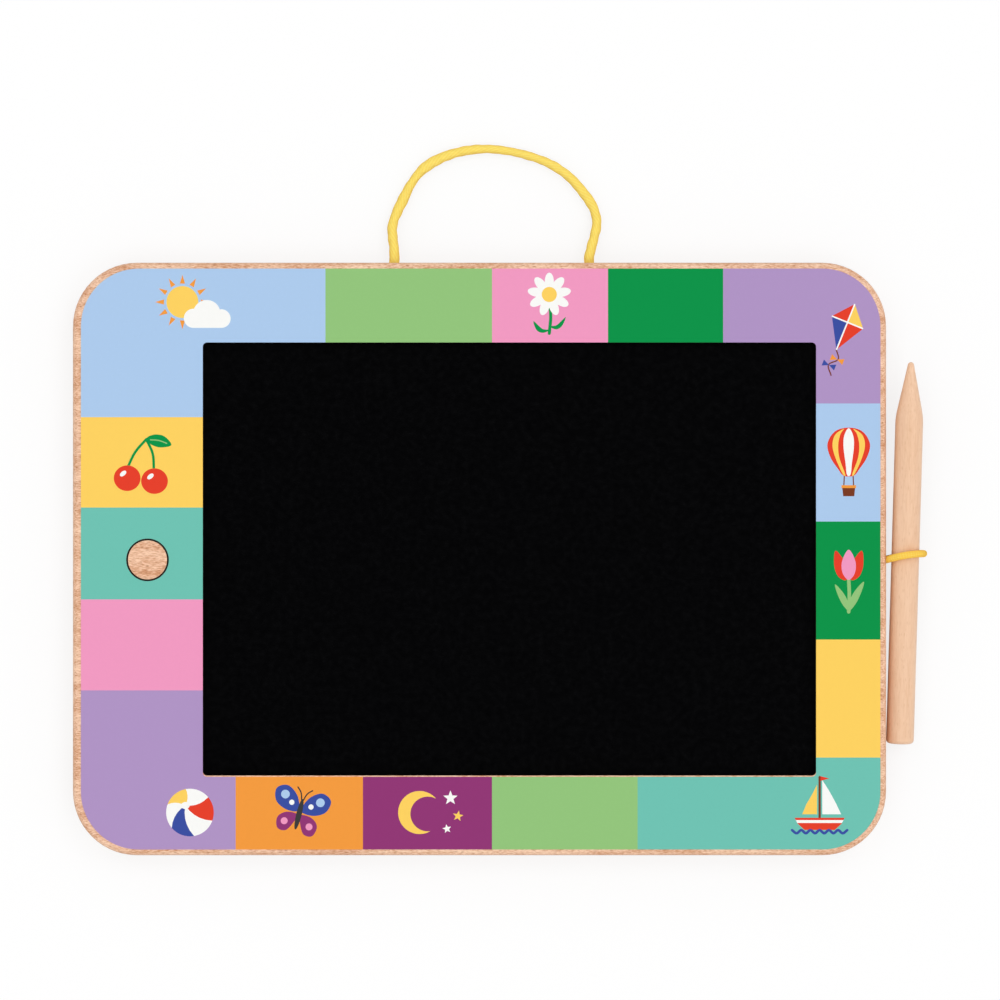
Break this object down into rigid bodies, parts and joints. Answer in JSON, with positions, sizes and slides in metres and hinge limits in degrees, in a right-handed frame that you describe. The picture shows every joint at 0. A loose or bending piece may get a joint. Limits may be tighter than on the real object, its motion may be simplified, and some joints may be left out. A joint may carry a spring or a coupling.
{
  "type": "lcd writing tablet",
  "caption": "Flat wooden writing tablet with a black erasable screen behind a window, a round erase button, a soft rope handle and a wooden pen in an elastic loop.",
  "frame": {"origin": "middle of the back face, on which the tablet lies", "axes": "+X to the right as the tablet is read, +Y towards the rope handle, +Z out of the writing screen"},
  "size_m": [0.2943, 0.2453, 0.0153],
  "materials": {
    "beech_ply": "matte",
    "beech_turned": "matte",
    "printed_film": "satin",
    "screen_film": "satin",
    "black_abs": "matte",
    "black_foam": "matte",
    "white_foam": "matte",
    "polyimide": "gloss",
    "circuit_laminate": "satin",
    "chip_epoxy": "matte",
    "spring_steel": "satin",
    "cell_steel": "satin",
    "zinc_steel": "satin",
    "insert_brass": "satin",
    "lead_insulation": "satin",
    "cotton_rope": "matte",
    "elastic_cord": "matte"
  },
  "bodies": {
    "board": {"front_panel": "beech_ply", "front_print": "printed_film", "core_frame": "beech_ply", "back_panel": "beech_ply", "back_screws": "zinc_steel", "screen_gasket": "black_foam", "lcd_film": "screen_film", "lcd_backing": "black_abs", "foam_pads": "white_foam", "flex_tail": "polyimide", "button_housing": "black_abs", "key_dome": "spring_steel", "circuit_board": "circuit_laminate", "board_parts": "chip_epoxy", "board_screws": "zinc_steel", "battery_tray": "black_abs", "contact_positive": "spring_steel", "contact_negative": "spring_steel", "coin_cell": "cell_steel", "battery_leads": "lead_insulation", "door_insert": "insert_brass", "handle_tails": "cotton_rope", "handle_knots": "cotton_rope", "pen_loop": "elastic_cord", "loop_knot": "elastic_cord"},
    "erase_button": {"erase_cap": "beech_turned", "button_carrier": "black_abs"},
    "battery_door": {"battery_door": "black_abs"},
    "door_screw": {"door_screw": "zinc_steel"},
    "handle": {"handle_cord": "cotton_rope"},
    "pen": {"pen": "beech_turned"}
  },
  "joints": [
    {"name": "erase_press", "type": "slide", "parent": "board", "child": "erase_button", "axis": [0, 0, -1], "range_m": [0, 0.0008], "stiffness_N_per_m": 800, "springref_m": -0.001, "deforming": ["key_dome"]},
    {"name": "pen_draw", "type": "slide", "parent": "board", "child": "pen", "axis": [0.0262, 0.9987, 0.0434], "range_m": [0, 0.14]},
    {"name": "door_lift", "type": "slide", "parent": "board", "child": "battery_door", "axis": [0, 0, -1], "range_m": [0, 0.025]},
    {"name": "door_screw_turn", "type": "hinge", "parent": "battery_door", "child": "door_screw", "pos_m": [-0.116, -0.0563, 0.001], "axis": [0, 0, 1], "continuous": true},
    {"name": "handle_swing", "type": "hinge", "parent": "board", "child": "handle", "pos_m": [0.0042, 0.10395, 0.006], "axis": [1, 0, 0], "range_deg": [0, 90]}
  ]
}
